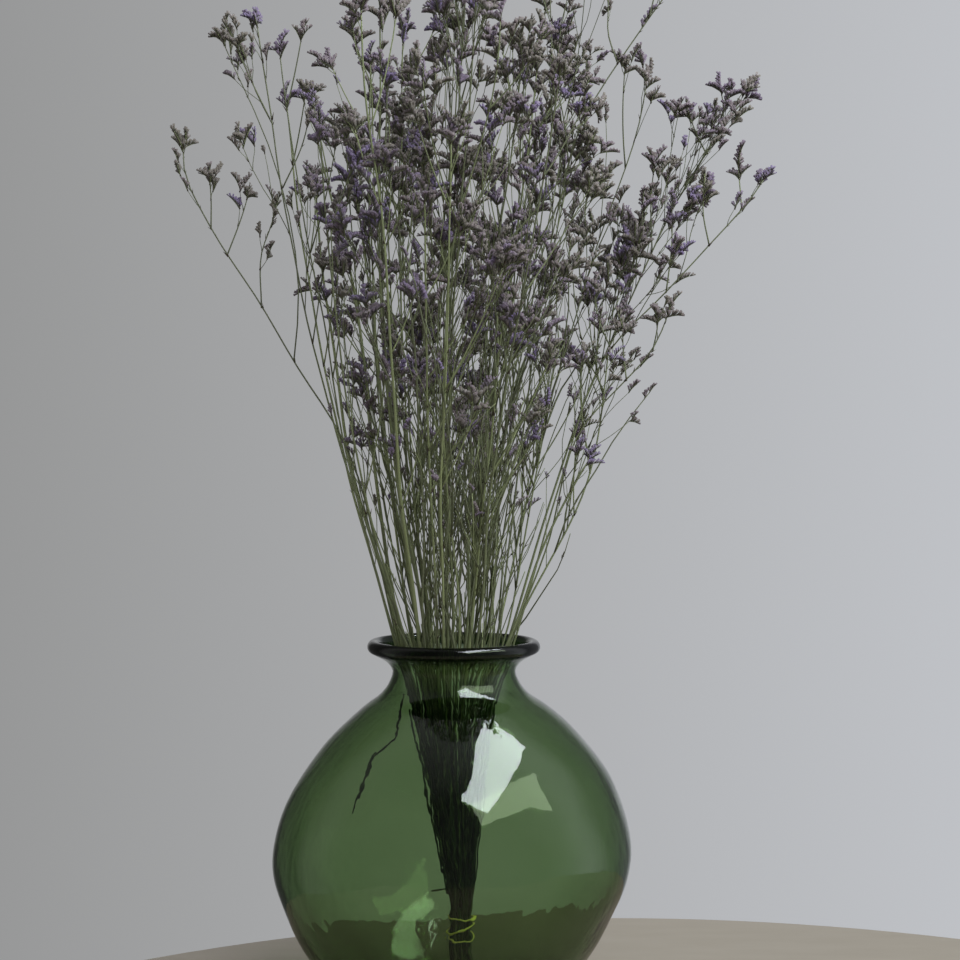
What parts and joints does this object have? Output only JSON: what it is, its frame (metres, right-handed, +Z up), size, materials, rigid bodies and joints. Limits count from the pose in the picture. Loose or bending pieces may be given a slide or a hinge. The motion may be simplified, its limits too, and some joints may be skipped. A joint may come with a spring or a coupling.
{
  "type": "preserved statice stems in a vase",
  "caption": "Dried statice stems with mauve flower sprays, bound with a rubber band and standing in a round-bellied green glass vase with a rolled lip.",
  "frame": {"origin": "middle of the vase's flat foot, on the surface it stands on, under the middle of the lip", "axes": "+Z up, along the stems; -Y is the side that the front view looks at; +X to its right"},
  "size_m": [0.3848, 0.2616, 0.6866],
  "materials": {
    "green_glass": "clear green glass, smooth and slightly uneven",
    "yellow_rubber": "matt",
    "statice": "dry plant stalk, olive green to brown, with greyish mauve flowers"
  },
  "bodies": {
    "root": {"vase": "green_glass", "binding_band": "yellow_rubber", "stem_01": "statice", "stem_02": "statice", "stem_03": "statice", "stem_04": "statice", "stem_05": "statice", "stem_06": "statice", "stem_07": "statice", "stem_08": "statice", "stem_09": "statice", "stem_10": "statice", "stem_11": "statice", "stem_12": "statice", "stem_13": "statice", "stem_14": "statice", "stem_15": "statice", "stem_16": "statice", "stem_17": "statice", "stem_18": "statice", "stem_19": "statice", "stem_20": "statice", "stem_21": "statice", "stem_22": "statice", "stem_23": "statice", "stem_24": "statice", "stem_25": "statice", "stem_26": "statice", "stem_27": "statice", "stem_28": "statice", "stem_29": "statice", "stem_30": "statice", "stem_31": "statice", "stem_32": "statice", "stem_33": "statice", "stem_34": "statice", "stem_35": "statice", "stem_36": "statice", "stem_37": "statice", "stem_38": "statice", "stem_39": "statice", "stem_40": "statice", "stem_41": "statice", "stem_42": "statice", "stem_43": "statice", "stem_44": "statice", "stem_45": "statice", "stem_46": "statice", "stem_47": "statice", "stem_48": "statice"}
  },
  "joints": []
}
